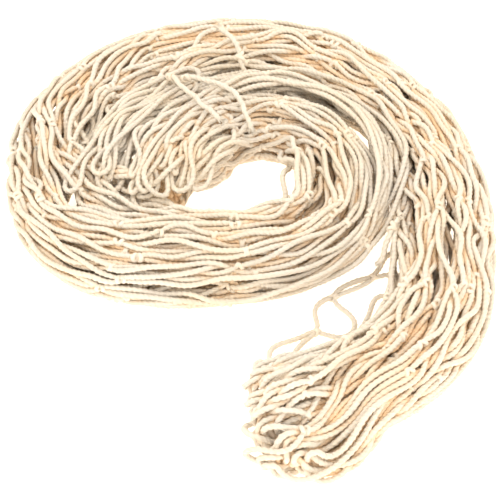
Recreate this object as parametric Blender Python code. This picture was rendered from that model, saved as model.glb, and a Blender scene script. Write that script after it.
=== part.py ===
"""Rope hammock: a knotted cotton net, folded in half and laid down as a loose coil whose folded end runs out as a tail.

Each net cord runs the whole length of the hammock and back, so in the folded net it lies as four runs side by side. Its
solid is the outer shape of those four runs, thicker at the knot rows. Metres, +Z up, resting on z = 0.
"""

import math

import bmesh
import bpy
import numpy as np

MM = 0.001

# Net
ROWS = (4, 5, 6, 5, 4)  # cords in each layer of the folded bundle, from the floor up
WIDEST_ROW = 6
MESH_BAR = 0.053  # one knot to the next along a cord
STATIONS_PER_BAR = 3
GAP = 0.0005  # clearance between neighbouring cords
SLIM = 0.86  # thickness between knots, as a share of the thickness at a knot
FOLD_STEP = 0.0045  # how much further back each layer's fold lies than the middle layer's

# Edge cords, hanging eyes, whippings and loose ends
SIDE_CORD_RADIUS = 0.0017
EYE_CORD_RADIUS = 0.0022
EYE_LENGTH = 0.020
EYE_WIDTH = 0.012
WHIPPING_RADIUS = 0.0008  # of the twine wound round the gathered ends
WHIPPING_TURNS = 4
WHIPPING_PITCH = 0.0018
WHIPPING_ROOM = 1.24  # a turn's radius as a share of half the gathered cords' box, so that it clears their corners
LOOSE_CORD_RADIUS = 0.0015
FRAY = 1.6  # how much a cut end swells where its yarns spread

# The bundle's route from the fold to the gathered ends: x, y, underside, width and height, in millimetres.
ROUTE = (
    (-3, -139, 0, 60, 42),
    (19, -135, 0, 62, 44),
    (46, -125, 0, 60, 44),
    (76, -104, 0, 58, 43),
    (95, -74, 0, 56, 42),
    (103, -38, 0, 54, 42),
    (106, -3, 0, 54, 42),
    (105, 32, 0, 54, 42),
    (96, 70, 0, 54, 42),
    (76, 102, 0, 54, 42),
    (47, 127, 0, 54, 42),
    (11, 139, 0, 54, 42),
    (-29, 139, 0, 54, 42),
    (-65, 125, 0, 52, 42),
    (-93, 97, 0, 50, 42),
    (-108, 61, 0, 48, 42),
    (-108, 21, 0, 48, 43),
    (-97, -11, 0, 52, 44),
    (-74, -30, 0, 56, 45),
    (-43, -35, 0, 58, 45),
    (-13, -33, 0, 58, 45),
    (17, -27, 0, 56, 45),
    (41, -11, 0, 52, 44),
    (51, 16, 0, 49, 43),
    (50, 43, 0, 49, 42),
    (39, 64, 0, 50, 42),
    (20, 76, 0, 50, 42),
    (-2, 78, 0, 51, 42),
    (-22, 68, 0, 50, 41),
    (-37, 51, 0, 43, 38),
    (-46, 34, 7, 33, 31),
    (-50, 18, 7, 28, 28),
)

# The open meshes that hang out of the tail: how far along the route, and how far out the edge cord bows there.
BOW_START = 0.035
BOW_END = 0.150
BOW_OUT = 0.042

# Cut cord ends lying over the coil: points in millimetres, each from the bundle out to the frayed tip.
LOOSE_ENDS = (
    ((-42, 87, 44), (-37, 78, 45), (-30, 67, 45), (-21, 55, 44.5), (-14, 47, 43)),
    ((-32, 86, 44.5), (-14, 77, 45.5), (-5, 66, 45), (-1, 55, 43.5), (3, 46, 37)),
    ((-5, 112, 43), (-9, 120, 46), (-17, 127, 46)),
    ((78, -17, 26), (74, -25, 19), (70, -33, 11)),
)

COTTON = (0.93, 0.86, 0.72, 1.0)


def clear_scene():
    for obj in list(bpy.data.objects):
        bpy.data.objects.remove(obj)


def cotton(name, share):
    """The cotton's material, a little lighter or darker from cord to cord."""
    material = bpy.data.materials.new(name + "_cotton")
    material.use_nodes = True
    shader = material.node_tree.nodes["Principled BSDF"]
    shader.inputs["Base Color"].default_value = [c * share for c in COTTON[:3]] + [1.0]
    shader.inputs["Roughness"].default_value = 0.9
    return material


def smooth_route(points, steps=40):
    """The stations joined by a centripetal Catmull-Rom curve, sampled finely."""
    points = np.array(points, float)
    before = 2 * points[0] - points[1]
    after = 2 * points[-1] - points[-2]
    points = np.vstack([before, points, after])
    fine = []
    for i in range(1, len(points) - 2):
        p0, p1, p2, p3 = points[i - 1 : i + 3]
        t1 = np.linalg.norm((p1 - p0)[:2]) ** 0.5
        t2 = t1 + np.linalg.norm((p2 - p1)[:2]) ** 0.5
        t3 = t2 + np.linalg.norm((p3 - p2)[:2]) ** 0.5
        for t in np.linspace(t1, t2, steps, endpoint=False):
            a1 = (t1 - t) / t1 * p0 + t / t1 * p1
            a2 = (t2 - t) / (t2 - t1) * p1 + (t - t1) / (t2 - t1) * p2
            a3 = (t3 - t) / (t3 - t2) * p2 + (t - t2) / (t3 - t2) * p3
            b1 = (t2 - t) / t2 * a1 + t / t2 * a2
            b2 = (t3 - t) / (t3 - t1) * a2 + (t - t1) / (t3 - t1) * a3
            fine.append((t2 - t) / (t2 - t1) * b1 + (t - t1) / (t2 - t1) * b2)
    fine.append(points[-2])
    return np.array(fine)


def stations_along(fine, step):
    """Evenly spaced stations: centre, sideways direction, underside, width, height and distance along the route."""
    gaps = np.linalg.norm(np.diff(fine[:, :2], axis=0), axis=1)
    along = np.concatenate([[0.0], np.cumsum(gaps)])
    count = int(round(along[-1] / step))
    wanted = np.linspace(0.0, along[-1], count + 1)
    rows = np.stack([np.interp(wanted, along, fine[:, k]) for k in range(5)], axis=1)
    rows[:, 2] = np.maximum(rows[:, 2], 0.0)
    heading = np.gradient(rows[:, :2], axis=0)
    heading /= np.linalg.norm(heading, axis=1)[:, None]
    side = np.stack([-heading[:, 1], heading[:, 0]], axis=1)
    return rows, side, wanted


def between(rows, side, index):
    """Centre, side, underside, width and height at a fractional station, on the straight line between stations."""
    low = min(int(math.floor(index)), len(rows) - 2)
    share = index - low
    row = (1 - share) * rows[low] + share * rows[low + 1]
    return row, (1 - share) * side[low] + share * side[low + 1]


def point_in_bundle(row, side, across, up):
    """The point this far to the left of the route's centre and above the bundle's underside."""
    x, y = row[:2] + across * side
    return (x, y, row[2] + up)


def add_object(name, data, share):
    data.materials.append(cotton(name, share))
    obj = bpy.data.objects.new(name, data)
    bpy.context.scene.collection.objects.link(obj)
    return obj


def lofted(name, rings, share):
    """One closed solid: the first ring's face extruded from ring to ring. The rings have the same number of points."""
    shape = bmesh.new()
    first = face = shape.faces.new([shape.verts.new(point) for point in rings[0]])
    for ring in rings[1:]:
        made = bmesh.ops.extrude_face_region(shape, geom=[face])["geom"]
        if face is not first:
            bmesh.ops.delete(shape, geom=[face], context="FACES_ONLY")
        face = next(item for item in made if isinstance(item, bmesh.types.BMFace))
        for vertex, point in zip(face.verts, ring):
            vertex.co = point
    bmesh.ops.recalc_face_normals(shape, faces=shape.faces)
    mesh = bpy.data.meshes.new(name)
    shape.to_mesh(mesh)
    shape.free()
    return add_object(name, mesh, share)


def round_cord(name, path, radius, share, swell=None, smooth=1):
    """A round cord along a path of points: a bevelled curve with closed ends. swell scales the radius point by point."""
    curve = bpy.data.curves.new(name, "CURVE")
    curve.dimensions = "3D"
    curve.bevel_depth = radius
    curve.bevel_resolution = smooth
    curve.use_fill_caps = True
    spline = curve.splines.new("POLY")
    spline.points.add(len(path) - 1)
    spline.use_smooth = True
    for k, point in enumerate(path):
        spline.points[k].co = (*point, 1.0)
        spline.points[k].radius = 1.0 if swell is None else swell[k]
    return add_object(name, curve, share)


def net_cord_rings(rows, side, layer, place):
    """A net cord's cross-sections: six-sided, flat above and below, and thickest at the knots."""
    count = ROWS[layer]
    column = place - (count - 1) / 2
    middle = (len(ROWS) - 1) / 2
    start = abs(layer - middle) * FOLD_STEP + abs(column) ** 2 * 0.0008
    step = MESH_BAR / STATIONS_PER_BAR
    first = start / step
    wanted = [first, first + 0.15] + [i for i in range(1, len(rows)) if i > first + 0.4]
    rings = []
    for n, index in enumerate(wanted):
        row, across = between(rows, side, index)
        pitch = row[3] / WIDEST_ROW
        layer_height = row[4] / len(ROWS)
        shifted = STATIONS_PER_BAR // 2 * ((place + layer) % 2)
        knot = (int(round(index)) + shifted) % STATIONS_PER_BAR == 0
        scale = 1.0 if knot else SLIM
        if n == 0 or n == len(wanted) - 1:
            scale = 0.55
        half_width = scale * (pitch - GAP) / 2
        half_height = scale * (layer_height - GAP) / 2
        centre_up = (layer + 0.5) * layer_height
        bottom = centre_up - half_height
        if layer == 0:
            bottom = 0.0
        centre = column * pitch
        corners = (
            (-half_width, centre_up),
            (-0.55 * half_width, bottom),
            (0.55 * half_width, bottom),
            (half_width, centre_up),
            (0.55 * half_width, centre_up + half_height),
            (-0.55 * half_width, centre_up + half_height),
        )
        # Left of the route is positive across, so the corners run so that the faces look outwards.
        rings.append([point_in_bundle(row, across, centre + a, b) for a, b in corners])
    return rings


def build_net_cords(rows, side):
    number = 0
    for layer, count in enumerate(ROWS):
        for place in range(count):
            number += 1
            share = 0.94 + 0.06 * ((number * 7) % 5) / 4
            lofted(f"net_cord_{number:02d}", net_cord_rings(rows, side, layer, place), share)


def build_side_cords(rows, side, along):
    """The two edge cords of the net: one along each upper shoulder of the bundle, the inner one bowing out at the tail."""
    for name, hand in (("side_cord_inner", 1), ("side_cord_outer", -1)):
        path = []
        for i in range(1, len(rows) - 2):
            row, across = between(rows, side, i)
            layer_height = row[4] / len(ROWS)
            up = (len(ROWS) - 0.5) * layer_height
            sideways = 2.6 * row[3] / WIDEST_ROW
            if hand > 0 and BOW_START < along[i] < BOW_END:
                share = math.sin(math.pi * (along[i] - BOW_START) / (BOW_END - BOW_START))
                sideways += share * (BOW_OUT + 0.006)
                up *= 1 - 0.75 * share
            path.append(point_in_bundle(row, across, hand * sideways, up))
        round_cord(name, path, SIDE_CORD_RADIUS, 1.0)


def build_whippings(rows, side):
    """The twine wound round the gathered cords, once for each end of the hammock."""
    end = len(rows) - 1
    for name, back in (("whipping_foot", 0.0038), ("whipping_head", 0.0134)):
        row, across = between(rows, side, end - back / (MESH_BAR / STATIONS_PER_BAR))
        heading = np.array([across[1], -across[0], 0.0])
        heading /= np.linalg.norm(heading)
        sideways = np.array([across[0], across[1], 0.0])
        centre = np.array([row[0], row[1], row[2] + row[4] / 2])
        path = []
        for k in range(WHIPPING_TURNS * 20 + 1):
            angle = 2 * math.pi * k / 20
            along = (k / 20 - WHIPPING_TURNS / 2) * WHIPPING_PITCH
            out = WHIPPING_ROOM * row[3] / 2 * math.cos(angle)
            up = WHIPPING_ROOM * row[4] / 2 * math.sin(angle)
            path.append(centre + along * heading + out * sideways + (0.0, 0.0, up))
        round_cord(name, path, WHIPPING_RADIUS, 0.9, smooth=0)


def build_eyes(rows, side):
    """The two hanging eyes: a bight of cord at each gathered end, drooping to the floor, one lying over the other."""
    row, across = between(rows, side, len(rows) - 1)
    across = across / np.linalg.norm(across)
    heading = np.array([across[1], -across[0], 0.0])
    sideways = np.array([across[0], across[1], 0.0])
    droop = np.array([0.0, 0.0, -1.0])
    for name, up, fall, turn in (("hanging_eye_foot", 0.008, 0.0055, -0.12), ("hanging_eye_head", 0.016, 0.0075, 0.12)):
        base = np.array([row[0], row[1], up]) + 0.003 * heading
        forward = math.cos(turn) * heading + math.sin(turn) * sideways
        left = -math.sin(turn) * heading + math.cos(turn) * sideways
        path = []
        for share, width in ((0.0, 0.45), (0.35, 0.9), (0.7, 1.0), (0.93, 0.6), (1.0, 0.0)):
            path.append(base + share * (EYE_LENGTH * forward + fall * droop) + width * EYE_WIDTH / 2 * left)
        for share, width in ((0.93, 0.6), (0.7, 1.0), (0.35, 0.9), (0.0, 0.45)):
            path.append(base + share * (EYE_LENGTH * forward + fall * droop) - width * EYE_WIDTH / 2 * left)
        round_cord(name, path, EYE_CORD_RADIUS, 0.92)


def build_loose_ends():
    for number, points in enumerate(LOOSE_ENDS, start=1):
        path = [np.array(point) * MM for point in points]
        swell = [1.0] * (len(path) - 1) + [FRAY]
        round_cord(f"loose_end_{number}", path, LOOSE_CORD_RADIUS, 0.98, swell)


def main():
    clear_scene()
    fine = smooth_route(np.array(ROUTE) * MM)
    rows, side, along = stations_along(fine, MESH_BAR / STATIONS_PER_BAR)
    build_net_cords(rows, side)
    build_side_cords(rows, side, along)
    build_whippings(rows, side)
    build_eyes(rows, side)
    build_loose_ends()


main()
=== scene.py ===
import itertools
import math

import bpy
import numpy as np
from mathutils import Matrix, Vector


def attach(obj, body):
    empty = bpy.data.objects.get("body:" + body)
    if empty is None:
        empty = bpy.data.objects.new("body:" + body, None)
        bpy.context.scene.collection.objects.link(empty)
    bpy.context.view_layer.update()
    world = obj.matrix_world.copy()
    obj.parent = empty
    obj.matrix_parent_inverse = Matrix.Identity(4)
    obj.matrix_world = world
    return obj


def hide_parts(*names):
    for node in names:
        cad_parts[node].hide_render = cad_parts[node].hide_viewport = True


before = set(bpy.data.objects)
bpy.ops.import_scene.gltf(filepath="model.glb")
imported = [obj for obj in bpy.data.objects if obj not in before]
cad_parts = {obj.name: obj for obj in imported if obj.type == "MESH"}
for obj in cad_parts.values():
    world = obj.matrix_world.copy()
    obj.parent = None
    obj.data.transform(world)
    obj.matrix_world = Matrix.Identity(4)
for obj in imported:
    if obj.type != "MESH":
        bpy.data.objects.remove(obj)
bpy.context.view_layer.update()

MM = 0.001

# The bundle's route, as in the CAD: x, y, underside, width and height, in millimetres.
ROUTE = (
    (-3, -139, 0, 60, 42),
    (19, -135, 0, 62, 44),
    (46, -125, 0, 60, 44),
    (76, -104, 0, 58, 43),
    (95, -74, 0, 56, 42),
    (103, -38, 0, 54, 42),
    (106, -3, 0, 54, 42),
    (105, 32, 0, 54, 42),
    (96, 70, 0, 54, 42),
    (76, 102, 0, 54, 42),
    (47, 127, 0, 54, 42),
    (11, 139, 0, 54, 42),
    (-29, 139, 0, 54, 42),
    (-65, 125, 0, 52, 42),
    (-93, 97, 0, 50, 42),
    (-108, 61, 0, 48, 42),
    (-108, 21, 0, 48, 43),
    (-97, -11, 0, 52, 44),
    (-74, -30, 0, 56, 45),
    (-43, -35, 0, 58, 45),
    (-13, -33, 0, 58, 45),
    (17, -27, 0, 56, 45),
    (41, -11, 0, 52, 44),
    (51, 16, 0, 49, 43),
    (50, 43, 0, 49, 42),
    (39, 64, 0, 50, 42),
    (20, 76, 0, 50, 42),
    (-2, 78, 0, 51, 42),
    (-22, 68, 0, 50, 41),
    (-37, 51, 0, 43, 38),
    (-46, 34, 7, 33, 31),
    (-50, 18, 7, 28, 28),
)

# The net
CORD = 0.003  # diameter of the cord
FULL_RADIUS = CORD / 2 * 1.12  # of the cord where it lies slack and its plies open a little
LAY = 0.0085  # along the cord, for one turn of its plies
NET_CORDS = 24  # each runs the length of the net and back, so it makes two of the net's strands
STRANDS = 2 * NET_CORDS + 2  # with an edge cord on either side
LAYERS = ((-0.9, 5), (-0.7, 9), (-0.5, 11), (-0.3, 12), (-0.1, 13))  # places for one run: height, count
MESH_BAR = 0.053  # one knot to the next along a cord
FIRST_KNOTS = 0.027  # the first row of knots, from the fold
TWIST = -0.75  # turns that the bundle takes about its own axis from the fold to its ends
SWIRL = 0.42  # how far neighbouring strands swing round the bundle together, in radians
WANDER = 0.20  # and how far each does by itself
BENDING = 0.035  # share of a strand's bend that each round of settling takes out
SPACING = 0.0033  # between the particles of the simulated strands
RUN_PARTICLES = 350
LINE_STEP = 0.0011  # between the points of a cord that isn't simulated
GROUND = 0.0001  # cords and knots are pressed flat where they lie on the ground
# a knot takes painted warm shade as if crowded this much
KNOT_PAINTED_SHADE = 2.0  # how crowded a knot is by the cords that it ties, on the scale that crowding gives

# The gathered ends and the cut ends, as in the CAD
WHIPPINGS = (("whipping_foot", 0.0038), ("whipping_head", 0.0134))  # how far back from the route's end
WHIPPING_TWINE = 0.0016
WHIPPING_TURNS = 4
WHIPPING_PITCH = 0.0018
WHIPPING_ROOM = 1.24
EYE_CORD = 0.0044
EYE_LENGTH = 0.020
EYE_WIDTH = 0.012
EYE_LEG = ((-0.5, 0.30), (0.0, 0.45), (0.35, 0.9), (0.7, 1.0), (0.93, 0.6), (1.0, 0.0))  # share of each size
EYES = (  # height, droop and turn
    ("hanging_eye_foot", 0.008, 0.0055, -0.12),
    ("hanging_eye_head", 0.016, 0.0075, 0.12),
)
LOOSE_ENDS = (
    ((-42, 87, 44), (-37, 78, 45), (-30, 67, 45), (-21, 55, 44.5), (-14, 47, 43)),
    ((-32, 86, 44.5), (-14, 77, 45.5), (-5, 66, 45), (-1, 55, 43.5), (3, 46, 37)),
    ((-5, 112, 43), (-9, 120, 46), (-17, 127, 46)),
    ((78, -17, 26), (74, -25, 19), (70, -33, 11)),
)

# The open meshes beside the tail: the points in millimetres that three strands of the lower run pass, from
# the fold on.
FLAP = (
    ((12, -84, 6), (27, -73, 4), (36, -67, 3), (35, -58, 3), (39, -49, 3))
    + ((46, -43, 3), (60, -31, 4), (72, -22, 7), (82, -12, 12)),
    ((22, -88, 8), (31, -77, 5), (37, -69, 3), (46, -74, 3), (54, -67, 3))
    + ((55, -55, 3), (47, -45, 3), (64, -36, 5), (80, -27, 9)),
    ((28, -92, 9), (38, -82, 5), (50, -76, 4), (58, -66, 4), (66, -55, 5), (74, -42, 8)),
)
FLAP_KNOTS = ((37, -68), (46, -44))  # where the first two are tied

rng = np.random.default_rng(7)


# -------- lines


def arc_along(line):
    """How far along a line each of its points is."""
    return np.concatenate([[0.0], np.cumsum(np.linalg.norm(np.diff(line, axis=0), axis=1))])


def resampled(line, arc, wanted):
    """The line's points at the wanted distances along it."""
    return np.stack([np.interp(wanted, arc, line[:, k]) for k in range(3)], axis=1)


def left_of(heading):
    """The level direction to the left of each heading."""
    return np.stack([-heading[..., 1], heading[..., 0], heading[..., 2]], axis=-1)


def soft_noise(s, seed, longest, shortest, terms=4):
    """Smooth noise along s, about -1 to 1, with these longest and shortest waves in metres."""
    source = np.random.default_rng(seed)
    waves = np.geomspace(longest, shortest, terms)
    total = np.zeros_like(s)
    for wave in waves:
        total = total + source.normal() * 0.6 * np.sin(2 * math.pi * (s / wave + source.random()))
    return total / math.sqrt(terms) * 1.4


def bow(s, start, end, sharp=1.0):
    """0 outside start to end, rising to 1 half-way between."""
    share = np.clip((s - start) / (end - start), 0, 1)
    return np.sin(math.pi * share) ** sharp


def smooth_through(xs, ys, wanted):
    """A Catmull-Rom curve through the points, read at the wanted places."""
    slope = np.gradient(ys, xs)
    k = np.clip(np.searchsorted(xs, wanted) - 1, 0, len(xs) - 2)
    gap = xs[k + 1] - xs[k]
    t = np.clip((wanted - xs[k]) / gap, 0, 1)
    return (
        (2 * t**3 - 3 * t**2 + 1) * ys[k]
        + (t**3 - 2 * t**2 + t) * gap * slope[k]
        + (3 * t**2 - 2 * t**3) * ys[k + 1]
        + (t**3 - t**2) * gap * slope[k + 1]
    )


def upsampled(points, factor):
    """A Catmull-Rom curve through each cord's particles, with about factor times as many points."""
    before = 2 * points[:, :1] - points[:, 1:2]
    after = 2 * points[:, -1:] - points[:, -2:-1]
    padded = np.concatenate([before, points, after], axis=1)
    p0, p1, p2, p3 = padded[:, :-3], padded[:, 1:-2], padded[:, 2:-1], padded[:, 3:]
    steps = []
    for k in range(factor):
        t = k / factor
        curve = 2 * p1 + (p2 - p0) * t
        curve = curve + (2 * p0 - 5 * p1 + 4 * p2 - p3) * t**2
        steps.append(0.5 * (curve + (3 * p1 - p0 - 3 * p2 + p3) * t**3))
    curve = np.stack(steps, axis=2).reshape(len(points), -1, points.shape[2])
    return np.concatenate([curve, points[:, -1:]], axis=1)


def bight(start, end, ahead, depth, count):
    """The points of a turn from start round to end, which reaches this depth ahead."""
    middle, half = (start + end) / 2, (start - end) / 2
    angle = np.linspace(0, math.pi, count + 2)[1:-1, None]
    return middle + half * np.cos(angle) + ahead * depth * np.sin(angle)


def dense_line(points):
    """A smooth line through the points, with about LINE_STEP between its own."""
    line = upsampled(np.array(points, float)[None], 24)[0]
    arc = arc_along(line)
    wanted = np.linspace(0, arc[-1], max(8, int(arc[-1] / LINE_STEP) + 1))
    return resampled(line, arc, wanted)


# -------- route


def smooth_route(points, steps=40):
    """The stations joined by a centripetal Catmull-Rom curve, sampled finely."""
    points = np.array(points, float)
    before = 2 * points[0] - points[1]
    after = 2 * points[-1] - points[-2]
    points = np.vstack([before, points, after])
    fine = []
    for i in range(1, len(points) - 2):
        p0, p1, p2, p3 = points[i - 1 : i + 3]
        t1 = np.linalg.norm((p1 - p0)[:2]) ** 0.5
        t2 = t1 + np.linalg.norm((p2 - p1)[:2]) ** 0.5
        t3 = t2 + np.linalg.norm((p3 - p2)[:2]) ** 0.5
        for t in np.linspace(t1, t2, steps, endpoint=False):
            a1 = (t1 - t) / t1 * p0 + t / t1 * p1
            a2 = (t2 - t) / (t2 - t1) * p1 + (t - t1) / (t2 - t1) * p2
            a3 = (t3 - t) / (t3 - t2) * p2 + (t - t2) / (t3 - t2) * p3
            b1 = (t2 - t) / t2 * a1 + t / t2 * a2
            b2 = (t3 - t) / (t3 - t1) * a2 + (t - t1) / (t3 - t1) * a3
            fine.append((t2 - t) / (t2 - t1) * b1 + (t - t1) / (t2 - t1) * b2)
    fine.append(points[-2])
    fine = np.array(fine)
    fine[:, 2] = np.maximum(fine[:, 2], 0.0)
    return fine


class Route:
    """Where the middle of the bundle runs, and how wide and high it is, by distance from the fold."""

    def __init__(self):
        fine = smooth_route(np.array(ROUTE) * MM)
        self.along = arc_along(fine[:, :2])
        self.fine = fine
        self.length = self.along[-1]
        heading = np.gradient(fine[:, :2], axis=0)
        self.heading = heading / np.linalg.norm(heading, axis=1)[:, None]

    def at(self, s):
        """The bundle's middle, heading, width and height at each distance. Past the ends it runs on."""
        s = np.asarray(s, float)
        x, y, low, width, height = (np.interp(s, self.along, self.fine[:, k]) for k in range(5))
        hx, hy = (np.interp(s, self.along, self.heading[:, k]) for k in range(2))
        size = np.hypot(hx, hy)
        hx, hy = hx / size, hy / size
        beyond = np.minimum(s, 0.0) + np.maximum(s - self.length, 0.0)
        centre = np.stack([x + beyond * hx, y + beyond * hy, low + height / 2], axis=-1)
        heading = np.stack([hx, hy, np.zeros_like(hx)], axis=-1)
        return centre, heading, width, height

    def place(self, s, across, up):
        """Points at a distance along, and this far to the left of and above the middle of the bundle."""
        centre, heading, _, _ = self.at(s)
        points = centre + left_of(heading) * np.asarray(across)[..., None]
        points[..., 2] += up
        return points


route = Route()


# -------- the net's cords before they settle


def places_in_section():
    """Each strand's place in the lower half of the bundle's section, in half widths and half heights.

    Neighbours in the net come next to each other, in columns from the inner side of the coil to the outer.
    """
    points = []
    for height, count in LAYERS:
        half = math.sqrt(1 - height**2)
        for k in range(count):
            points.append((half * (1 - 2 * (k + 0.5) / count), height))
    columns = {}
    for u, v in points:
        columns.setdefault(math.floor((1 - u) * 6.5), []).append((u, v))
    ordered = []
    for n, column in enumerate(sorted(columns)):
        ordered += sorted(columns[column], key=lambda p: p[1] if n % 2 else -p[1])
    return np.array(ordered)


def knot_rows():
    """How far along the route each row of knots lies."""
    return np.arange(FIRST_KNOTS, route.length - 0.02, MESH_BAR)


def run_sections(run):
    """Where one run of every strand, 0 lower and 1 upper, lies at the knots and half-way between.

    The bundle twists slowly. On top of that neighbouring strands swirl together, and each wanders by itself.
    """
    places = places_in_section() * np.array([1.0, 1.0 if run == 0 else -1.0])
    rows = knot_rows()
    halves = np.concatenate([[rows[0] - MESH_BAR / 2], rows + MESH_BAR / 2])
    spots = np.sort(np.concatenate([rows, halves]))
    is_knot = np.isin(spots, rows)
    across = np.zeros((STRANDS, len(spots)))
    up = np.zeros((STRANDS, len(spots)))
    _, _, width, height = route.at(spots)
    turn = 2 * math.pi * TWIST * np.clip(spots / route.length, 0, 1)
    turn = turn + 0.30 * soft_noise(spots, 5, 0.45, 0.2)
    for i, (u, v) in enumerate(places):
        reach = math.hypot(u, v) ** 0.62
        reach = reach * (1 + 0.20 * soft_noise(spots, 300 + 2 * i + run, 0.30, 0.08))
        reach = np.minimum(reach, 1.06)
        shared = soft_noise(spots + 0.014 * i + 9.0 * run, 31, 0.5, 0.17)
        own = soft_noise(spots, 100 + 2 * i + run, 0.30, 0.08)
        angle = math.atan2(v, u) + turn + SWIRL * shared + WANDER * own
        across[i] = reach * np.cos(angle) * (width / 2 - CORD / 2)
        up[i] = reach * np.sin(angle) * (height / 2 - CORD / 2)
    return spots, is_knot, across, up


def knotted_pairs(row):
    """The first cord of each pair of neighbours that a row of knots ties together."""
    return range(row % 2, STRANDS - 1, 2)


def knotted_sections(shift):
    """Both runs' sections, with the strands of each knot side by side and sharing its shift."""
    drawn = []
    for run in (0, 1):
        spots, is_knot, across, up = run_sections(run)
        at_knots = np.flatnonzero(is_knot)
        for row, k in enumerate(at_knots):
            for i in knotted_pairs(row):
                a = np.array([across[i, k], up[i, k]])
                b = np.array([across[i + 1, k], up[i + 1, k]])
                middle, apart = (a + b) / 2, b - a
                apart = apart / max(np.linalg.norm(apart), 1e-6) * 0.0012
                across[i, k], up[i, k] = middle - apart
                across[i + 1, k], up[i + 1, k] = middle + apart
                shift[run, row, i + 1] = shift[run, row, i]
        drawn.append((spots, at_knots, across, up))
    return drawn


def laid_strand(i, fold_at, drawn, shift):
    """A strand's points before it settles, out to the fold by its lower run and back by its upper one.

    With them come how far along the route each is and how far it has left the bundle, 0 to 1.
    """
    paths, rows = [], []
    for run in (0, 1):
        spots, at_knots, across, up = drawn[run]
        mine = spots.copy()
        mine[at_knots] += shift[run, :, i]
        s = np.linspace(fold_at, route.length - 0.0005, 700)
        a = smooth_through(mine, across[i], s)
        b = smooth_through(mine, up[i], s)
        a = a + 0.0011 * soft_noise(s, 700 + 2 * i + run, 0.075, 0.030)
        b = b + 0.0008 * soft_noise(s, 900 + 2 * i + run, 0.075, 0.030)
        row = np.column_stack(strayed(run, i, s, a, b))
        if run == 0:
            row = row[::-1]
        path = route.place(row[:, 0], row[:, 1], row[:, 2])
        if run == 0 and i < len(FLAP):
            path, row = detour(path, row, 0.165 - 0.012 * i, 0.038, np.array(FLAP[i])[::-1] * MM)
        path, row = draped(path, row, i, run)
        paths.append(path)
        rows.append(row)
    start, end = paths[0][-1], paths[1][0]
    depth = max(float(np.linalg.norm(start - end)) / 2, 0.005) * 0.8 + 0.003
    loop = bight(start, end, -route.at(fold_at)[1], depth, 24)
    whole = np.vstack([paths[0], loop, paths[1]])
    along = np.concatenate([rows[0][:, 0], np.full(len(loop), fold_at), rows[1][:, 0]])
    away = np.concatenate([rows[0][:, 3], np.zeros(len(loop)), rows[1][:, 3]])
    return whole, along, away


def laid_out():
    """Each strand's starting particles, how far along and out of the bundle each is, and the knots."""
    paths = np.zeros((STRANDS, 2 * RUN_PARTICLES, 3))
    at = np.zeros((STRANDS, 2 * RUN_PARTICLES))
    loose = np.zeros((STRANDS, 2 * RUN_PARTICLES))
    fold_at = 0.010 + 0.022 * rng.random(STRANDS)
    rows = knot_rows()
    shift = rng.normal(0, 0.0065, (2, len(rows), STRANDS))
    drawn = knotted_sections(shift)
    ties = {}
    for i in range(STRANDS):
        whole, along, away = laid_strand(i, fold_at[i], drawn, shift)
        arc = arc_along(whole)
        wanted = np.linspace(0, arc[-1], 2 * RUN_PARTICLES)
        paths[i] = resampled(whole, arc, wanted)
        at[i] = np.interp(wanted, arc, along)
        loose[i] = np.interp(wanted, arc, away)
        for run in (0, 1):
            first = run * RUN_PARTICLES
            mine = at[i, first : first + RUN_PARTICLES]
            for row in range(len(rows)):
                target = rows[row] + shift[run, row, i]
                ties[run, row, i] = first + int(np.abs(mine - target).argmin())
    one, other = pair_up(ties)
    near = np.linalg.norm(paths[tuple(one.T)] - paths[tuple(other.T)], axis=1) < 0.009
    one, other = list(one[near]), list(other[near])
    for x, y in FLAP_KNOTS:
        target = np.array([x, y, 3]) * MM
        lower = paths[:2, :RUN_PARTICLES]
        found = np.linalg.norm(lower - target, axis=2).argmin(axis=1)
        one.append((0, found[0]))
        other.append((1, found[1]))
    return paths, at, loose, (np.array(one), np.array(other))


def detour(path, rows, start, end, points):
    """The path with the stretch between two distances along the route led through these points instead."""
    inside = (rows[:, 0] > min(start, end)) & (rows[:, 0] < max(start, end))
    first, last = np.flatnonzero(inside)[[0, -1]]
    before, after = max(first - 1, 0), min(last + 1, len(path) - 2)
    lead, trail = max(before - 10, 0), min(after + 10, len(path) - 1)
    stops = np.vstack([path[[lead, before]], points, path[[after, trail]]])
    line = upsampled(stops[None], 40)[0][40:-40]
    count = len(line)
    along = np.linspace(rows[first, 0], rows[last, 0], count)
    new = np.column_stack([along, np.zeros((count, 2)), np.ones(count)])
    path = np.vstack([path[:before], line, path[after + 1 :]])
    rows = np.vstack([rows[:before], new, rows[after + 1 :]])
    return path, rows


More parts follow.
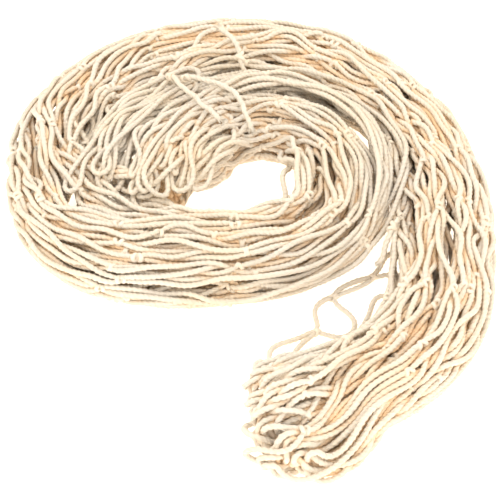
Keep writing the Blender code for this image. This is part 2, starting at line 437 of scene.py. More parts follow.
def draped(path, rows, strand, run):
    """Slack bights of some upper strands that lie over the gathered ends and run back before they go in."""
    place = route.length - 0.040
    here = int(np.abs(rows[:, 0] - place).argmin())
    across, up = rows[here, 1:3]
    if up < 0.0060 or strand % 4 == 0:
        return path, rows
    chance = np.random.default_rng(8000 + 2 * strand + run)
    left = across * (1.25 if across < 0 else 1.0) + 0.004 * (chance.random() - 0.5)
    ahead = route.length - 0.012 + 0.034 * chance.random() - 0.6 * max(left, 0.0)
    back = route.length - 0.052 - 0.02 * chance.random()
    lift = 0.020 + 0.003 * chance.random()
    gap = 0.0075 if chance.random() < 0.5 else -0.0075
    stops = (
        (route.length - 0.050, left, lift - 0.002),
        (route.length - 0.020, left, lift),
        (ahead - 0.008, left + 0.1 * gap, lift - 0.001),
        (ahead, left + 0.5 * gap, lift - 0.006),
        (ahead - 0.009, left + 1.0 * gap, lift - 0.001),
        (route.length - 0.030, left + gap, lift + 0.001),
        (back + 0.008, left + 1.2 * gap, lift - 0.003),
        (back, left + 0.6 * gap, lift - 0.007),
        (back + 0.010, left + 0.1 * gap, lift - 0.010),
    )
    jitter = chance.normal(0, 1.0, (len(stops), 3)) * (0.004, 0.0042, 0.002)
    points = np.array([route.place(*stop[:, None])[0] for stop in np.array(stops) + jitter])
    step = -1 if rows[0, 0] > rows[-1, 0] else 1
    path, rows = detour(path[::step], rows[::step], route.length - 0.085, route.length - 0.035, points)
    return path[::step], rows[::step]


def nearest_station(x, y):
    """How far along the route its middle comes closest to this point, in millimetres, past the tail."""
    far = np.hypot(route.fine[:, 0] - x * MM, route.fine[:, 1] - y * MM)
    far[route.along < 0.3] = 9.0
    return route.along[far.argmin()]


def strayed(run, strand, s, across, up):
    """Moves the strands that leave the bundle. The last value is how far each point has left, 0 to 1."""
    away = np.zeros_like(s)
    chance = np.random.default_rng(4000 + 2 * strand + run).random
    ragged = 0.75 + 0.35 * soft_noise(s, 1200 + 2 * strand + run, 0.10, 0.04)

    def leave(start, end, outwards, upwards, sharp=1.2):
        nonlocal across, up, away
        share = bow(s, start, end, sharp)
        across = across + share * outwards
        up = up + share * upwards
        away = np.maximum(away, share)

    def offset_at(place):
        here = int(np.abs(s - place).argmin())
        return across[here], up[here]

    def offset_near(x, y):
        place = nearest_station(x, y)
        return place, *offset_at(place)

    # between the fold and the first knots the lower run rides up against the upper one
    out, _ = offset_at(0.055)
    if run == 0 and -0.020 < out < 0.016:
        up = up + bow(s, -0.03, 0.130) * (0.010 + 0.008 * chance())
    # bights at the fold that slump onto the ground
    out, _ = offset_at(0.020)
    if out < -0.010:
        leave(-0.030, 0.050 + 0.015 * chance(), -0.002 - 0.008 * chance(), -0.004)
    # strands beside the open meshes of the tail
    if run == 0 and 2 < strand < 8:
        leave(0.02, 0.17, (0.020, 0.014, 0.009, 0.005, 0.002)[strand - 3], -0.007)
    # the loop across the hole, and strands laid over the seam between the turns
    place, out, high = offset_near(51, 34)
    if out > 0.0185 and high > -0.006:
        leave(place - 0.060, place + 0.048, 0.003 + 0.008 * chance(), 0.010)
    place, out, high = offset_near(44, 54)
    if out < -0.010 and high > 0.002:
        first, last = place - 0.075 - 0.02 * chance(), place + 0.05 + 0.04 * chance()
        leave(first, last, -0.004 - 0.014 * chance(), 0.008)
    # the tangle inside the coil's left end
    place, out, high = offset_near(-37, 51)
    if out < -0.003:
        reach = min((-out - 0.003) / 0.018, 1.0)
        far = (0.003 + 0.025 * reach) * (0.45 + 0.65 * chance())
        first = place - 0.095 + 0.03 * chance()
        leave(first, route.length - 0.019, -far * ragged, (high < 0) * -0.004 + 0.003 * ragged, 1.0)
        if strand % 4 == 1:
            first = place - 0.085 + 0.02 * chance()
            s = switchback(s, first, place + 0.030, 2.2 + 0.5 * chance())
    elif out > 0.010:
        leave(place - 0.03, route.length - 0.019, 0.009 * chance() * ragged, 0.002, 1.0)
    # strands that cut the corner inside the coil's left end, in front of the gathered ends
    place, out, high = offset_near(-90, -18)
    if out > 0.004 and high > -0.012:
        far = chance() ** 1.5 * 0.040
        first, last = place - 0.080 + 0.02 * chance(), place + 0.050 + 0.03 * chance()
        leave(first, last, max(far - 0.4 * out, 0.0), min(0.016 - high, 0.012) * far / 0.040, 1.0)
    # strands that slip off the outer turn towards that tangle
    for x, y, most, start, end in ((-106, 45, 0.030, 0.11, 0.10), (-60, 127, 0.014, 0.08, 0.08)):
        place, out, high = offset_near(x, y)
        if out > 0.011:
            far = most * min((out - 0.011) / 0.010, 1.0) * (0.4 + 0.7 * chance())
            first = place - start * (0.6 + 0.4 * chance())
            leave(first, place + end, far * ragged, -0.003 if high < 0 else 0.0)
    return s, across, up, away


def switchback(s, start, end, strength):
    """Distances along that run ahead, turn back and run on between start and end, as slack cord does."""
    share = (s - start) / (end - start)
    inside = (share > 0) & (share < 1)
    moved = start + (end - start) * (share + strength / (2 * math.pi) * np.sin(2 * math.pi * share))
    return np.where(inside, moved, s)


def pair_up(ties):
    """The tied particles as two lists of strand and particle, one for either strand of each knot."""
    one, other = [], []
    for (run, row, i), k in ties.items():
        if i in knotted_pairs(row):
            one.append((i, k))
            other.append((i + 1, ties[run, row, i + 1]))
    return np.array(one), np.array(other)


# -------- settling


def near_pairs(x, reach):
    """Index pairs of particles within reach of each other, but not those close together on one strand."""
    count = x.shape[1]
    points = x.reshape(-1, 3)
    cell = np.floor(points / reach).astype(np.int64)
    cell -= cell.min(axis=0)
    size = cell.max(axis=0) + 3
    key = (cell[:, 0] * size[1] + cell[:, 1]) * size[2] + cell[:, 2]
    order = np.argsort(key, kind="stable")
    keys = key[order]
    found = []
    for step in itertools.product((-1, 0, 1), repeat=3):
        if step < (0, 0, 0):
            continue
        other = key + (step[0] * size[1] + step[1]) * size[2] + step[2]
        low = np.searchsorted(keys, other, "left")
        many = np.searchsorted(keys, other, "right") - low
        a = np.repeat(np.arange(len(points)), many)
        start = np.repeat(low - np.concatenate([[0], np.cumsum(many)[:-1]]), many)
        b = order[np.arange(len(a)) + start]
        if step == (0, 0, 0):
            keep = a < b
            a, b = a[keep], b[keep]
        found.append((a, b))
    a, b = (np.concatenate(side) for side in zip(*found))
    close = ((points[a] - points[b]) ** 2).sum(axis=1) < reach**2
    a, b = a[close], b[close]
    apart = (a // count != b // count) | (np.abs(a - b) > 4)
    return a[apart], b[apart]


def push_apart(flat, a, b):
    """Moves the particles of each pair apart where they are closer than a cord's thickness."""
    gap = flat[a] - flat[b]
    distance = np.sqrt((gap**2).sum(axis=1)) + 1e-9
    push = np.clip(CORD * 1.02 - distance, 0, 0.001) / distance * 0.36
    touching = push > 0
    move = gap[touching] * push[touching][:, None]
    for k in range(3):
        flat[:, k] += np.bincount(a[touching], move[:, k], len(flat))
        flat[:, k] -= np.bincount(b[touching], move[:, k], len(flat))


def straighten(x):
    """Takes a little of each cord's bend out of it."""
    bend = np.zeros_like(x)
    bend[:, 2:-2] = x[:, :-4] - 4 * x[:, 1:-3] + 6 * x[:, 2:-2] - 4 * x[:, 3:-1] + x[:, 4:]
    x -= BENDING * bend


def draw_knots(x, knots):
    """Brings the two cords of each knot closer together."""
    (ia, ka), (ib, kb) = knots[0].T, knots[1].T
    tie = x[ib, kb] - x[ia, ka]
    far = np.linalg.norm(tie, axis=1)[:, None] + 1e-9
    pull = tie / far * (far - CORD * 0.72) * 0.4
    x[ia, ka] += pull
    x[ib, kb] -= pull


def keep_length(x, rest):
    """Brings every gap between neighbouring particles back to its length at rest."""
    for parity in (0, 1, 0, 1):
        edge = x[:, parity + 1 :: 2] - x[:, parity:-1:2]
        long = np.linalg.norm(edge, axis=2)[..., None] + 1e-9
        fix = edge * (1 - rest[:, parity::2, None] / long) * 0.5
        x[:, parity:-1:2] += fix
        x[:, parity + 1 :: 2] -= fix


def settle(paths, at, loose, knots, rounds):
    """The strands after position-based relaxation.

    They keep their length, push each other apart, stay tied at the knots and stay in the bundle.
    """
    x = paths.copy()
    cords, count = x.shape[:2]
    rest = np.linalg.norm(np.diff(x, axis=1), axis=2)
    rest = rest * (1.0 + 0.025 * rng.random((cords, 1)) + 0.01 * rng.random((cords, count - 1)))
    centre, heading, width, height = route.at(at)
    left = left_of(heading)
    free = loose > 0.08
    low = (at < 0.2) & free
    limit = 1.0 + 0.05 * soft_noise(at, 77, 0.30, 0.07)
    flat = x.reshape(-1, 3)
    fixed_ends = x[:, [0, -1]].copy()
    for step in range(rounds):
        if step % 5 == 0:
            a, b = near_pairs(x, CORD * 1.5)
        push_apart(flat, a, b)
        straighten(x)
        draw_knots(x, knots)
        keep_length(x, rest)
        # the bundle's outline and the floor
        offset = x - centre
        across = (offset * left).sum(axis=2)
        up = offset[..., 2]
        out = np.sqrt((across / (width / 2 - CORD / 2)) ** 2 + (up / (height / 2 - CORD / 2)) ** 2)
        back = np.where((out > limit) & ~free, 0.25 * (1 - limit / np.maximum(out, 1e-6)), 0.0)
        x -= left * (across * back)[..., None]
        x[..., 2] -= up * back
        x[..., 2] -= np.where(low, 0.00012, 0.00002)
        np.maximum(x[..., 2], CORD / 2, out=x[..., 2])
        x[:, [0, -1]] = fixed_ends
    return x


# -------- cord meshes


def frames_along(lines):
    """Directions along, and two across, that don't spin: for lines of shape (cords, count, 3)."""
    along = np.gradient(lines, axis=1)
    along /= np.linalg.norm(along, axis=2)[..., None] + 1e-12
    one = np.zeros_like(along)
    start = np.cross(along[:, 0], (0.0, 0.0, 1.0))
    weak = np.linalg.norm(start, axis=1) < 0.2
    start[weak] = np.cross(along[weak, 0], (1.0, 0.0, 0.0))
    normal = start / np.linalg.norm(start, axis=1)[:, None]
    for k in range(lines.shape[1]):
        normal = normal - (normal * along[:, k]).sum(axis=1)[:, None] * along[:, k]
        normal /= np.linalg.norm(normal, axis=1)[:, None] + 1e-12
        one[:, k] = normal
    return along, one, np.cross(along, one)


def ply_profile(angle, plies):
    """The radius of a cord of a few plies at an angle in its section, as a share of its full radius."""
    third = math.pi / plies
    inner = 1 / (1 + math.sin(third))
    a = (angle + third) % (2 * third) - third
    size = (1 - inner) ** 2 - (inner * np.sin(a)) ** 2
    return np.maximum(inner * np.cos(a) + np.sqrt(np.maximum(size, 0)), 0.78)


def ring_quads(rings, sides):
    """Quads between rings of points, each ring with this many sides."""
    i = np.arange(rings - 1)[:, None] * sides
    j = np.arange(sides)[None, :]
    k = (j + 1) % sides
    return np.stack([i + j, i + k, i + sides + k, i + sides + j], axis=-1).reshape(-1, 4)


def quad_uvs(u0, u1, v0, v1):
    """UVs for the corners of ring_quads' faces, from where each face begins and ends."""
    corners = [np.stack(c, -1) for c in ((u0, v0), (u0, v1), (u1, v1), (u1, v0))]
    return np.stack(corners, axis=2).reshape(-1, 2)


def strip_uvs(line, radius, sides):
    """UVs in 0 to 1 for a long tube, cut into strips laid one above another so that it fills its map."""
    rings = len(line)
    length = np.linalg.norm(np.diff(line, axis=0), axis=1).sum()
    strips = max(1, int(math.sqrt(length / (2 * math.pi * radius))))
    strip_of = np.minimum((np.arange(rings - 1) * strips) // (rings - 1), strips - 1)
    first = np.array([np.flatnonzero(strip_of == s)[0] for s in range(strips)])
    last = np.append(first[1:], rings - 1)
    start, end = first[strip_of], last[strip_of]
    u0 = 0.004 + 0.992 * (np.arange(rings - 1) - start) / (end - start)
    u1 = 0.004 + 0.992 * (np.arange(rings - 1) + 1 - start) / (end - start)
    v0 = (strip_of[:, None] + 0.06 + 0.88 * np.arange(sides)[None, :] / sides) / strips
    v1 = (strip_of[:, None] + 0.06 + 0.88 * (np.arange(sides)[None, :] + 1) / sides) / strips
    u0, u1 = (np.broadcast_to(u[:, None], v0.shape) for u in (u0, u1))
    return quad_uvs(u0, u1, v0, v1)


def crowding(points, at):
    """How closely neighbours crowd each particle: their number, weighted by nearness, and their direction.

    The number grows towards the middle of the bundle. It sets only the painted warm shade between and inside
    the cords.
    """
    cords, count = points.shape[:2]
    flat = points.reshape(-1, 3)
    a, b = near_pairs(points, CORD * 1.9)
    gap = flat[b] - flat[a]
    far = np.linalg.norm(gap, axis=1)
    weight = np.clip(1.9 - far / CORD, 0, 1) * SPACING / CORD
    push = gap / far[:, None] * weight[:, None]
    total = np.zeros((len(flat), 4))
    total[:, 0] = np.bincount(a, weight, len(flat)) + np.bincount(b, weight, len(flat))
    for k in range(3):
        total[:, k + 1] = np.bincount(a, push[:, k], len(flat)) - np.bincount(b, push[:, k], len(flat))
    total = total.reshape(cords, count, 4)
    centre, heading, width, height = route.at(at)
    offset = points - centre
    across = offset[..., 1] * heading[..., 0] - offset[..., 0] * heading[..., 1]
    out = np.hypot(across / (width / 2), offset[..., 2] / (height / 2))
    # more painted shade deep inside the bundle, fading out near the fold
    total[..., 0] += 5.0 * np.clip((0.80 - out) / 0.4, 0, 1) * np.clip(at / 0.06 - 0.5, 0, 1)
    return total


def tube_part(line, one, other, radius, lay, sides=12, plies=3, phase=0.0, crowd=None):
    """A twisted cord along a line, whose plies make one turn in each length of lay.

    It is given as vertices, quads, UVs for baking, UVs along the lay, and how much painted warm shade each
    vertex takes, from how closely its neighbours crowd it.
    """
    arc = arc_along(line)
    around = 2 * math.pi * np.arange(sides) / sides
    twist = 2 * math.pi * arc / lay + phase
    angle = around[None, :] + twist[:, None]
    shape = ply_profile(around, plies) if plies > 1 else np.ones(sides)
    reach = radius[:, None] * shape[None, :]
    outward = np.cos(angle)[..., None] * one[:, None] + np.sin(angle)[..., None] * other[:, None]
    points = line[:, None] + reach[..., None] * outward
    points[..., 2] = np.maximum(points[..., 2], GROUND)
    painted_shade_depth = np.zeros(reach.shape)
    if crowd is not None:
        # the painted warm shade: half the crowding, more on the side that faces the neighbours
        painted_shade_depth = 0.5 * (crowd[:, None, 0] + (outward * crowd[:, None, 1:]).sum(axis=2))
    faces = (len(line) - 1, sides)
    u0, u1 = (np.broadcast_to(u[:, None], faces) for u in (arc[:-1] * 100, arc[1:] * 100))
    v0, v1 = (np.broadcast_to((np.arange(sides) + k)[None, :] / sides, faces) for k in (0, 1))
    bake = strip_uvs(line, float(radius.mean()), sides)
    return points.reshape(-1, 3), ring_quads(len(line), sides), bake, quad_uvs(u0, u1, v0, v1), painted_shade_depth.ravel()


def mesh_object(name, parts, material):
    """One object from several parts. The first one's UVs fill most of the map, the others' a cell each."""
    vertices, quads, bakes, lies, painted_shade_depth = zip(*parts)
    shift = np.cumsum([0] + [len(v) for v in vertices[:-1]])
    vertices = np.concatenate(vertices)
    quads = np.concatenate([q + n for q, n in zip(quads, shift)])
    small = len(parts) - 1
    across = math.ceil(math.sqrt(small * 6))
    down = math.ceil(small / across)
    base = 0.86
    uvs = [bakes[0] * (1.0, base)]
    for n, bake in enumerate(bakes[1:]):
        corner = np.array([(n % across) / across, base + (1 - base) * (n // across) / down])
        cell = np.array([1 / across, (1 - base) / down])
        uvs.append(corner + cell * (0.08 + 0.84 * bake))
    mesh = bpy.data.meshes.new(name)
    mesh.vertices.add(len(vertices))
    mesh.vertices.foreach_set("co", vertices.astype(np.float32).ravel())
    mesh.loops.add(quads.size)
    mesh.loops.foreach_set("vertex_index", quads.astype(np.int32).ravel())
    mesh.polygons.add(len(quads))
    mesh.polygons.foreach_set("loop_start", np.arange(0, quads.size, 4, dtype=np.int32))
    mesh.update(calc_edges=True)
    for title, values in (("OFBake", uvs), ("Lay", lies)):
        layer = mesh.uv_layers.new(name=title)
        layer.data.foreach_set("uv", np.concatenate(values).astype(np.float32).ravel())
    # the painted warm shade depth, for the material to read
    shade = mesh.attributes.new("painted_shade_depth", "FLOAT", "POINT")
    shade.data.foreach_set("value", np.concatenate(painted_shade_depth).astype(np.float32))
    mesh.shade_smooth()
    mesh.materials.append(material)
    obj = bpy.data.objects.new(name, mesh)
    bpy.context.scene.collection.objects.link(obj)
    return obj


def cap_part(line, one, other, radius):
    """A small rounded cap of quads over a cord's end, as a short closing tube."""
    steps = np.array([0.0, 0.35, 0.6, 0.75])
    shrink = np.array([0.98, 0.8, 0.45, 0.02])
    direction = line[1] - line[0]
    direction /= np.linalg.norm(direction)
    path = line[0] - direction * radius * steps[:, None]
    normal = np.repeat(one[:1], 4, axis=0)
    binormal = np.repeat(other[:1], 4, axis=0)
    return tube_part(path, -normal, binormal, radius * shrink, 1.0, plies=1)


def knot_parts(centre, along, apart, size=1.0):
    """The turns of cord that make a netting knot: two crossed turns, drawn tight round both cords."""
    along = along / np.linalg.norm(along)
    apart = apart - apart.dot(along) * along
    apart /= np.linalg.norm(apart) + 1e-12
    over = np.cross(along, apart)
    parts = []
    lean = 0.55 + 0.15 * rng.random()
    turn = np.linspace(0, 2 * math.pi, 17)
    sides = 8
    around = 2 * math.pi * np.arange(sides) / sides
    for tilt, shift in ((lean, -0.0012), (-lean * 0.9, 0.0012)):
        line = (
            centre
            + along * shift * size
            + np.cos(turn)[:, None] * 0.00175 * size * apart
            + np.sin(turn + 0.3)[:, None] * 0.00170 * size * over
            + (np.sin(turn) * math.tan(tilt) * 0.0016 * size)[:, None] * along
        )
        radial = line - centre - along * shift * size
        radial -= (radial @ along)[:, None] * along
        radial /= np.linalg.norm(radial, axis=1)[:, None]
        tangent = np.gradient(line, axis=0)
        tangent[0] = tangent[-1] = tangent[0] + tangent[-1]
        tangent /= np.linalg.norm(tangent, axis=1)[:, None]
        binormal = np.cross(tangent, radial)
        ring = (
            line[:, None]
            + 0.00095 * size * np.cos(around)[None, :, None] * radial[:, None]
            + 0.00130 * size * np.sin(around)[None, :, None] * binormal[:, None]
        )
        ring[..., 2] = np.maximum(ring[..., 2], GROUND)
        quads = ring_quads(len(line), sides)
        uvs = strip_uvs(line, 0.004, sides)
        # each knot takes a fixed share of the painted warm shade
        painted_shade_depth = np.full(len(line) * sides, KNOT_PAINTED_SHADE)
        parts.append((ring.reshape(-1, 3), quads, uvs, uvs * (1.2, 1.0), painted_shade_depth))
    return parts


# -------- materials


def node(tree, kind, settings=(), **inputs):
    """A new node with its settings, and with values for some of its inputs."""
    made = tree.nodes.new(kind)
    for key, value in settings:
        setattr(made, key, value)
    for key, value in inputs.items():
        made.inputs[key].default_value = value
    return made


def maths(tree, operation, *terms):
    """The output of a maths node, whose terms are numbers or other nodes' outputs."""
    made = node(tree, "ShaderNodeMath", (("operation", operation),))
    for socket, term in zip(made.inputs, terms):
        if isinstance(term, bpy.types.NodeSocket):
            tree.links.new(term, socket)
        else:
            socket.default_value = term
    return made.outputs[0]


def plain_material(name, values):
    """A material with these values for its shader's inputs, and that shader."""
    material = bpy.data.materials.new(name)
    material.use_nodes = True
    shader = material.node_tree.nodes["Principled BSDF"]
    for key, value in values.items():
        shader.inputs[key].default_value = value
    return material, shader


def cotton_material(name, between, deep, pale):
    """Unbleached twisted cotton: warm cream, uneven from place to place, with yarns that show as fine ridges,
    their grooves darkened by painted shade.

    Between the cords, where neighbours crowd it, it takes a painted warm shade that stands for the light
    coming through the cords and the shade between them.
    """
    finish = {"Roughness": 0.92, "Specular IOR Level": 0.2, "Sheen Weight": 0.08, "Sheen Roughness": 0.6}
    material, shader = plain_material(name, finish)
    tree = material.node_tree
    link = tree.links.new
    place = node(tree, "ShaderNodeTexCoord")
    broad = node(tree, "ShaderNodeTexNoise", Scale=26.0, Detail=3.0)
    fine = node(tree, "ShaderNodeTexNoise", Scale=1100.0, Detail=2.0, Roughness=0.7)
    link(place.outputs["Object"], broad.inputs["Vector"])
    link(place.outputs["Object"], fine.inputs["Vector"])
    # three yarns in each ply, slanting across it, bumped and with painted shade in their grooves
    lie = node(tree, "ShaderNodeUVMap", (("uv_map", "Lay"),))
    parts = node(tree, "ShaderNodeSeparateXYZ")
    link(lie.outputs["UV"], parts.inputs[0])
    turns = maths(tree, "MULTIPLY", parts.outputs["Y"], 9.0)
    slant = maths(tree, "MULTIPLY_ADD", parts.outputs["X"], 1.8, turns)
    ridge = maths(tree, "SINE", maths(tree, "MULTIPLY", slant, 2 * math.pi))
    height = maths(tree, "MULTIPLY_ADD", ridge, 0.30, fine.outputs["Fac"])
    blotch = maths(tree, "MULTIPLY", broad.outputs["Fac"], 0.60)
    shade = maths(tree, "MULTIPLY_ADD", height, 0.42, blotch)
    # the ramp goes from deep to pale with the fine and broad noise, the cotton's own uneven tone, and with
    # the ridges, which darken the grooves as painted shade
    ramp = node(tree, "ShaderNodeValToRGB")
    for stop, position, colour in zip(ramp.color_ramp.elements, (0.30, 0.64), (deep, pale)):
        stop.position = position
        stop.color = (*colour, 1)
    link(shade, ramp.inputs["Fac"])
    # painted warm shade between the cords: the more crowded a vertex, the more of the between colour it takes
    crowd = node(tree, "ShaderNodeAttribute", (("attribute_name", "painted_shade_depth"),))
    smooth = (("interpolation_type", "SMOOTHSTEP"),)
    share = node(tree, "ShaderNodeMapRange", smooth, **{"From Min": 1.5, "From Max": 5.5})
    link(crowd.outputs["Fac"], share.inputs["Value"])
    warm_shade_mix = node(tree, "ShaderNodeMix", (("data_type", "RGBA"),))
    link(share.outputs["Result"], warm_shade_mix.inputs["Factor"])
    link(ramp.outputs["Color"], warm_shade_mix.inputs[6])
    warm_shade_mix.inputs[7].default_value = (*between, 1)
    link(warm_shade_mix.outputs[2], shader.inputs["Base Color"])
    bump = node(tree, "ShaderNodeBump", Strength=0.7, Distance=0.0004)
    link(height, bump.inputs["Height"])
    link(bump.outputs["Normal"], shader.inputs["Normal"])
    return material


# -------- making it all


def pinched(x, knots):
    """The cords drawn tightly together at each knot."""
    x = x.copy()
    count = x.shape[1]
    for (ia, ka), (ib, kb) in zip(*knots):
        a, b = x[ia, ka].copy(), x[ib, kb].copy()
        middle, apart = (a + b) / 2, b - a
        apart *= 0.00085 / max(np.linalg.norm(apart), 1e-6)
        for i, k, target in ((ia, ka, middle - apart), (ib, kb, middle + apart)):
            move = target - x[i, k]
            for step in range(-3, 4):
                if 0 <= k + step < count:
                    x[i, k + step] += move * math.exp(-((step * SPACING / 0.004) ** 2))
    return x


def joined(lines, first):
    """A net cord's whole line: out along one strand and, round a small bight, back along the next."""
    a, b = lines[first][::-1], lines[first + 1]
    ahead = a[-1] - a[-4]
    ahead = ahead / np.linalg.norm(ahead)
    depth = max(float(np.linalg.norm(a[-1] - b[0])) / 2, 0.002)
    return np.vstack([a, bight(a[-1], b[0], ahead, depth, 7), b])


def twisted_cord(name, line, radius, lay, material, extra=(), crowd=None):
    """A cord of three plies along a line, with rounded ends."""
    _, (one,), (other,) = frames_along(line[None])
    parts = [tube_part(line, one, other, radius, lay, phase=rng.random() * 6.28, crowd=crowd)]
    parts.append(cap_part(line, one, other, radius[0]))
    parts.append(cap_part(line[::-1], one[::-1], other[::-1], radius[-1]))
    return mesh_object(name, parts + list(extra), material)


def make_cords(x, at, knots, material):
    """Every net and edge cord as a mesh, from the settled strands, each with its centreline."""
    (ia, ka), (ib, kb) = knots[0].T, knots[1].T
    met = np.linalg.norm(x[ia, ka] - x[ib, kb], axis=1) < 1.4 * CORD
    knots = (knots[0][met], knots[1][met])
    x = pinched(x, knots)
    factor = 3
    lines = upsampled(x, factor)
    crowds = upsampled(crowding(x, at), factor)
    count = lines.shape[1]
    radius = np.full((STRANDS, count), FULL_RADIUS)
    position = np.arange(count) / factor
    turns = [[] for _ in range(STRANDS)]
    for (ia, ka), (ib, kb) in zip(*knots):
        for i, k in ((ia, ka), (ib, kb)):
            radius[i] *= 1 - 0.34 * np.exp(-(((position - k) * SPACING / 0.0024) ** 2))
        apart = x[ib, kb] - x[ia, ka]
        middle = x[ia, ka] + 0.0008 * apart / max(np.linalg.norm(apart), 1e-6)
        turns[ia] += knot_parts(middle, x[ia, ka + 1] - x[ia, ka - 1], apart, 0.86 + 0.12 * rng.random())
    inner = ("side_inner", "side_cord_inner", "edge_cotton", lines[0], radius[0], turns[0], crowds[0])
    outer = ("side_outer", "side_cord_outer", "edge_cotton", lines[-1], radius[-1], turns[-1], crowds[-1])
    whole = [inner]
    for n in range(NET_CORDS):
        i = 1 + 2 * n
        line = joined(lines, i)
        extra = len(line) - 2 * count
        thick = np.concatenate([radius[i][::-1], np.full(extra, FULL_RADIUS), radius[i + 1]])
        crowd = np.vstack([crowds[i][::-1], np.repeat(crowds[i][:1], extra, axis=0), crowds[i + 1]])
        name = f"net_cord_{n + 1:02d}"
        whole.append((name, name, "net_cotton", line, thick, turns[i] + turns[i + 1], crowd))
    whole.append(outer)
    made = []
    for n, (name, stands_for, slot, line, thick, tied, crowd) in enumerate(whole):
        uneven = 1 + 0.045 * soft_noise(arc_along(line), 500 + n, 0.09, 0.012)
        lay = LAY * (1 + 0.08 * (rng.random() - 0.5))
        obj = twisted_cord("visual_" + name, line, thick * uneven, lay, material, tied, crowd)
        made.append((obj, line, stands_for, slot, CORD, 2))
    return made


def frayed_yarns(tip, along, one, other, count=9):
    """The yarns that spread from a cut end, starting inside the cord."""
    parts = []
    for k in range(count):
        angle = 2 * math.pi * k / count + 0.7 * rng.random()
        spread = (0.3 + 0.7 * rng.random()) * (math.cos(angle) * one + math.sin(angle) * other)
        bend = 0.15 * np.clip(rng.normal(size=3), -1, 1)
        length = 0.0038 + 0.0029 * rng.random()
        share = np.linspace(0, 1, 10)[:, None]
        start = tip - 0.0035 * along + 0.0006 * spread
        yarn = start + along * length * share + (spread * 0.0009 + bend * 0.0009) * (share + 1.4 * share**2)
        _, a, b = frames_along(yarn[None])
        thick = np.linspace(0.00068, 0.00030, 10)
        parts.append(tube_part(yarn, a[0], b[0], thick, 0.003, sides=6, plies=1))
    return parts


def make_loose_ends(material):
    """Cut cord ends that stick out of the knots, with their yarns spread at the tip."""
    made = []
    for n, points in enumerate(LOOSE_ENDS, start=1):
        points = np.array(points) * MM
        inwards = points[0] - points[1]
        root = points[0] + 0.009 * inwards / np.linalg.norm(inwards) - (0, 0, 0.004)
        line = dense_line(np.vstack([root, points]))
        line[:, 2] += 0.0045 * np.linspace(0, 1, len(line)) ** 0.7
        spots = np.arange(len(line)) * LINE_STEP
        line += 0.0004 * np.stack([soft_noise(spots, 60 + 3 * n + k, 0.03, 0.012) for k in range(3)], 1)
        along, one, other = frames_along(line[None])
        radius = np.full(len(line), FULL_RADIUS)
        radius[-6:] *= np.array([1.02, 1.06, 1.1, 1.05, 0.9, 0.7])
        tip, heading = line[-1], along[0, -1]
        extra = frayed_yarns(tip, heading, one[0, -1], other[0, -1])
        extra += knot_parts(line[7] - (0, 0, 0.0004), along[0, 7], other[0, 7])
        name = f"loose_end_{n}"
        obj = twisted_cord("visual_" + name, line, radius, 0.0095, material, extra)
        whole = np.vstack([line, tip + 0.0012 * heading])
        made.append((obj, whole, name, "loose_cotton", CORD, 1))
    return made


def make_bindings(material):
    """The twine wound round the gathered ends, and the two hanging eyes that come out of them."""
    made = []
    for name, back in WHIPPINGS:
        place = route.length - back
        turn = np.linspace(0, 2 * math.pi * WHIPPING_TURNS, WHIPPING_TURNS * 96)
        centre, heading, width, height = route.at(np.full(len(turn), place))
        along = (turn / (2 * math.pi) - WHIPPING_TURNS / 2) * WHIPPING_PITCH
        line = centre + along[:, None] * heading
        line = line + (WHIPPING_ROOM * width / 2 * np.cos(turn))[:, None] * left_of(heading)
        line[:, 2] += WHIPPING_ROOM * height / 2 * np.sin(turn)
        radius = np.full(len(line), WHIPPING_TWINE / 2)
        obj = twisted_cord("visual_" + name, line, radius, 0.005, material)
        made.append((obj, line, name, "binding_cotton", WHIPPING_TWINE, 1))
    (centre,), (heading,), _, _ = route.at(np.array([route.length]))
    left = left_of(heading)
    for name, up, droop, turn in EYES:
        base = np.array([*centre[:2], up]) + 0.003 * heading
        forward = math.cos(turn) * heading + math.sin(turn) * left
        sideways = -math.sin(turn) * heading + math.cos(turn) * left
        path = []
        for share, wide in EYE_LEG + tuple((share, -wide) for share, wide in EYE_LEG[-2::-1]):
            reach = base + share * EYE_LENGTH * forward - (0, 0, max(share, 0.0) * droop)
            path.append(reach + wide * EYE_WIDTH / 2 * sideways)
        line = dense_line(path)
        radius = np.full(len(line), EYE_CORD / 2 * 0.98)
        obj = twisted_cord("visual_" + name, line, radius, 0.013, material)
        made.append((obj, line, name, "binding_cotton", EYE_CORD, 1))
    return made


def declare_cords(made):
    """Attaches each piece to the root body and hides the CAD part that it stands for."""
    for obj, line, name, slot, diameter, step in made:
        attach(obj, "root")
        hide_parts(name)


# -------- stage, light and camera


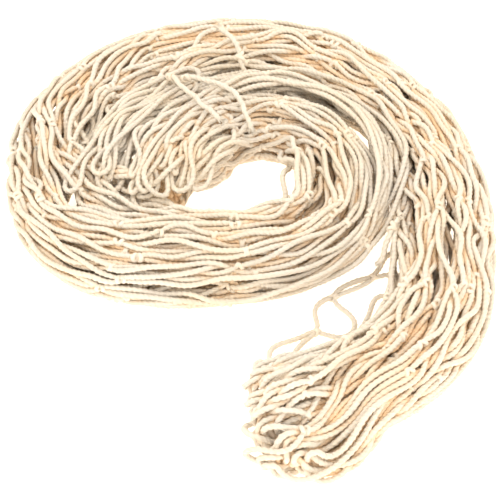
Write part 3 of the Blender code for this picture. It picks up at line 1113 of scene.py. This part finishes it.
def make_stage():
    floor = bpy.data.meshes.new("floor")
    corners = [(-6, -6, 0), (6, -6, 0), (6, 6, 0), (-6, 6, 0)]
    floor.from_pydata(corners, [], [(0, 1, 2, 3)])
    obj = bpy.data.objects.new("floor", floor)
    obj.location.z = -0.0004
    bpy.context.scene.collection.objects.link(obj)
    finish = {"Base Color": (0.93, 0.93, 0.93, 1), "Roughness": 1.0, "Specular IOR Level": 0.0}
    glow = {"Emission Color": (1.0, 0.88, 0.74, 1), "Emission Strength": 1.0}
    floor.materials.append(plain_material("studio_floor", finish | glow)[0])


def aimed(name, data, place, direction):
    """A light or a camera at a place, looking along a direction."""
    obj = bpy.data.objects.new(name, data)
    obj.location = place
    obj.rotation_euler = direction.to_track_quat("-Z", "Y").to_euler()
    bpy.context.scene.collection.objects.link(obj)
    return obj


def area_light(name, place, size, power, colour):
    """A round light that shines at the middle of the hammock."""
    data = bpy.data.lights.new(name, "AREA")
    data.shape = "DISK"
    data.size = size
    data.energy = power
    data.color = colour
    aimed(name, data, place, Vector((0.0, 0.0, 0.02)) - Vector(place))


def make_lights():
    area_light("key", (-0.7, -0.4, 1.5), 1.0, 3.4, (0.94, 0.965, 1.0))
    area_light("front", (0.2, -1.15, 1.25), 0.9, 3.7, (0.94, 0.965, 1.0))
    area_light("back", (0.1, 1.2, 1.1), 1.2, 3.0, (1.0, 0.99, 0.98))
    world = bpy.data.worlds.new("studio")
    world.use_nodes = True
    background = world.node_tree.nodes["Background"]
    background.inputs["Color"].default_value = (1.0, 0.93, 0.83, 1)
    background.inputs["Strength"].default_value = 1.4
    bpy.context.scene.world = world
    bpy.context.scene.view_settings.view_transform = "Standard"


CAMERA_RISE = math.radians(45.0)
CAMERA_DISTANCE = 0.80
CAMERA_LENS = 109.0
CAMERA_TARGET = Vector((0.002, -0.027, 0.020))


def make_camera():
    data = bpy.data.cameras.new("camera")
    data.lens = CAMERA_LENS
    data.sensor_width = 36.0
    data.clip_start = 0.05
    away = Vector((0.0, -math.cos(CAMERA_RISE), math.sin(CAMERA_RISE)))
    place = CAMERA_TARGET + away * CAMERA_DISTANCE
    bpy.context.scene.camera = aimed("camera", data, place, -away)


def main():
    make_camera()
    make_lights()
    make_stage()
    paths, at, loose, knots = laid_out()
    x = settle(paths, at, loose, knots, 150)
    # the first colour is the painted warm shade between the cords; deep and pale are the cotton's tones, with
    # painted shade in the yarns' grooves
    cotton = cotton_material("net_cotton_look", (0.99, 0.73, 0.47), (0.90, 0.775, 0.59), (0.89, 0.83, 0.745))
    made = make_cords(x, at, knots, cotton)
    made += make_loose_ends(cotton)
    made += make_bindings(cotton)
    declare_cords(made)


main()
